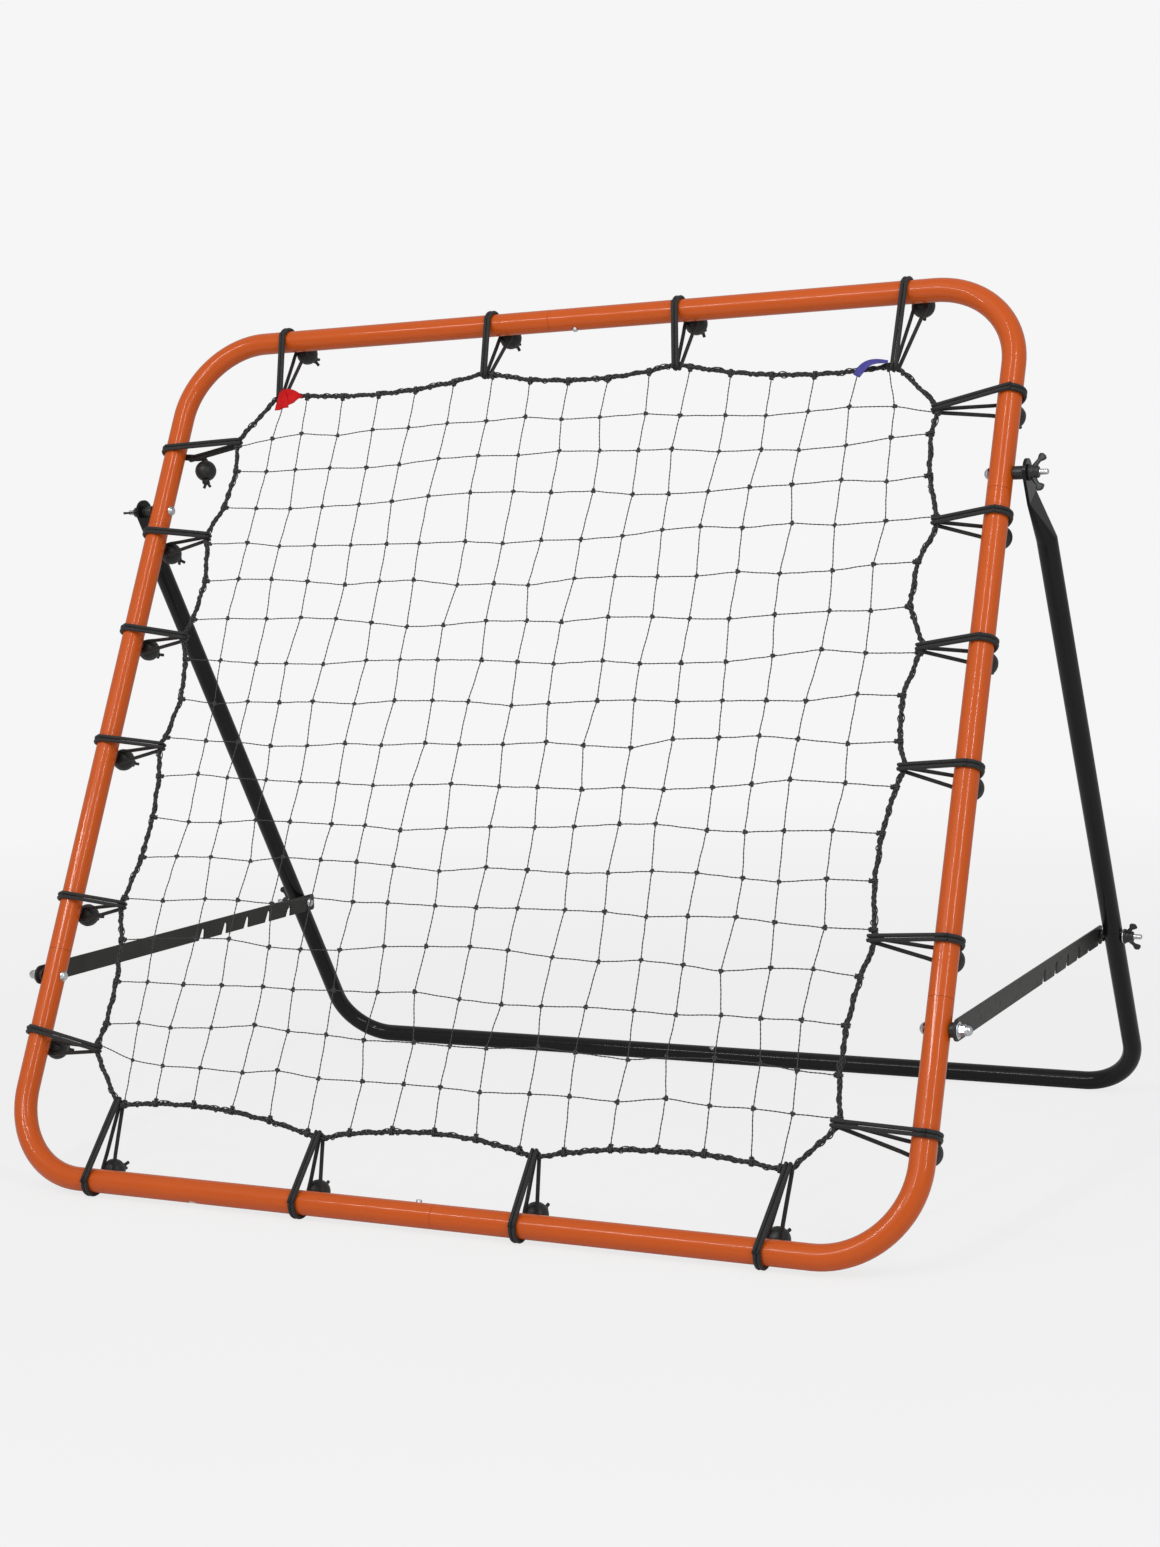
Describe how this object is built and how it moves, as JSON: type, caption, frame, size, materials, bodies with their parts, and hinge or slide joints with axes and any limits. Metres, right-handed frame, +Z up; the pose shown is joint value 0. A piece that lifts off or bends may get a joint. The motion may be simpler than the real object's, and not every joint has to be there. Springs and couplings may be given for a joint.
{
  "type": "folding ball rebounder net",
  "caption": "Leaning square tube frame with a bungee-tied knotted net, propped by a folding rear stand held with notched struts.",
  "frame": {"origin": "on the ground under the middle of the whole object, which rests on its bottom frame tube's tie bands and on the stand's crossbar", "axes": "+Z up, +X across to the object's right as the player faces it, +Y to the rear where the stand is; the net faces -Y"},
  "size_m": [1.1042, 0.7662, 0.9006],
  "materials": {
    "orange_paint": "glossy powder coat",
    "black_paint": "glossy powder coat",
    "strut_paint": "satin coated bar",
    "zinc": "bright zinc plate",
    "spring_steel": "bare spring steel",
    "black_nylon": "satin moulded nylon",
    "ball_plastic": "glossy moulded plastic",
    "pale_nylon": "satin moulded nylon",
    "bungee_cord": "woven cover",
    "border_cord": "braided",
    "net_twine": "knotted twine",
    "red_webbing": "woven",
    "blue_webbing": "woven"
  },
  "bodies": {
    "frame": {"top_left_corner_tube": "orange_paint", "top_right_corner_tube": "orange_paint", "left_side_tube": "orange_paint", "right_side_tube": "orange_paint", "bottom_left_corner_tube": "orange_paint", "bottom_right_corner_tube": "orange_paint", "frame_drain_plug": "pale_nylon", "frame_button_springs": "spring_steel", "pivot_bolts": "zinc", "pivot_spacers": "black_nylon", "strut_bolts": "zinc", "strut_bushes": "black_nylon", "strut_washers": "zinc", "strut_dome_nuts": "zinc", "net_panel": "net_twine", "border_rope": "border_cord", "top_bungee_cords": "bungee_cord", "right_bungee_cords": "bungee_cord", "bottom_bungee_cords": "bungee_cord", "left_bungee_cords": "bungee_cord", "top_bungee_balls": "ball_plastic", "right_bungee_balls": "ball_plastic", "bottom_bungee_balls": "ball_plastic", "left_bungee_balls": "ball_plastic", "red_tab": "red_webbing", "blue_tab": "blue_webbing"},
    "stand": {"left_stand_leg": "black_paint", "right_stand_leg": "black_paint", "left_stand_base": "black_paint", "right_stand_base": "black_paint", "stand_drain_plug": "pale_nylon", "stand_button_spring": "spring_steel", "leg_bolts": "zinc", "leg_bolt_bushes": "black_nylon", "leg_bolt_washers": "zinc"},
    "top_button": {"top_snap_button": "zinc"},
    "bottom_button": {"bottom_snap_button": "zinc"},
    "stand_button": {"stand_snap_button": "zinc"},
    "strut_left": {"left_strut": "strut_paint"},
    "strut_right": {"right_strut": "strut_paint"},
    "pivot_nut_left": {"left_pivot_wing_nut": "black_nylon"},
    "pivot_nut_right": {"right_pivot_wing_nut": "black_nylon"},
    "leg_nut_left": {"left_leg_wing_nut": "black_nylon"},
    "leg_nut_right": {"right_leg_wing_nut": "black_nylon"}
  },
  "joints": [
    {"name": "stand_fold", "type": "hinge", "parent": "frame", "child": "stand", "pos_m": [0, -0.03466, 0.69749], "axis": [-1, 0, 0], "range_deg": [0, 54.9]},
    {"name": "left_strut_swing", "type": "hinge", "parent": "frame", "child": "strut_left", "pos_m": [-0.5057, -0.27445, 0.20585], "axis": [1, 0, 0], "range_deg": [0, 62.3]},
    {"name": "right_strut_swing", "type": "hinge", "parent": "frame", "child": "strut_right", "pos_m": [0.5057, -0.27445, 0.20585], "axis": [1, 0, 0], "range_deg": [0, 62.3]},
    {"name": "left_pivot_nut_turn", "type": "hinge", "parent": "frame", "child": "pivot_nut_left", "pos_m": [-0.5202, -0.03466, 0.69749], "axis": [-1, 0, 0], "range_deg": [0, 450]},
    {"name": "left_leg_nut_turn", "type": "hinge", "parent": "stand", "child": "leg_nut_left", "pos_m": [-0.5382, 0.26042, 0.19991], "axis": [-1, 0, 0], "range_deg": [0, 450]},
    {"name": "right_pivot_nut_turn", "type": "hinge", "parent": "frame", "child": "pivot_nut_right", "pos_m": [0.5202, -0.03466, 0.69749], "axis": [1, 0, 0], "range_deg": [0, 450]},
    {"name": "right_leg_nut_turn", "type": "hinge", "parent": "stand", "child": "leg_nut_right", "pos_m": [0.5382, 0.26042, 0.19991], "axis": [1, 0, 0], "range_deg": [0, 450]},
    {"name": "top_button_press", "type": "slide", "parent": "frame", "child": "top_button", "axis": [0, 0.4384, 0.8988], "range_m": [0, 0.004], "stiffness_N_per_m": 400},
    {"name": "bottom_button_press", "type": "slide", "parent": "frame", "child": "bottom_button", "axis": [0, -0.4384, -0.8988], "range_m": [0, 0.004], "stiffness_N_per_m": 400},
    {"name": "stand_button_press", "type": "slide", "parent": "stand", "child": "stand_button", "axis": [0, 0.5101, -0.8601], "range_m": [0, 0.004], "stiffness_N_per_m": 400}
  ],
  "couplings": [
    {"joint": "left_strut_swing", "follows": "stand_fold", "ratio": 1.13},
    {"joint": "right_strut_swing", "follows": "stand_fold", "ratio": 1.13}
  ]
}
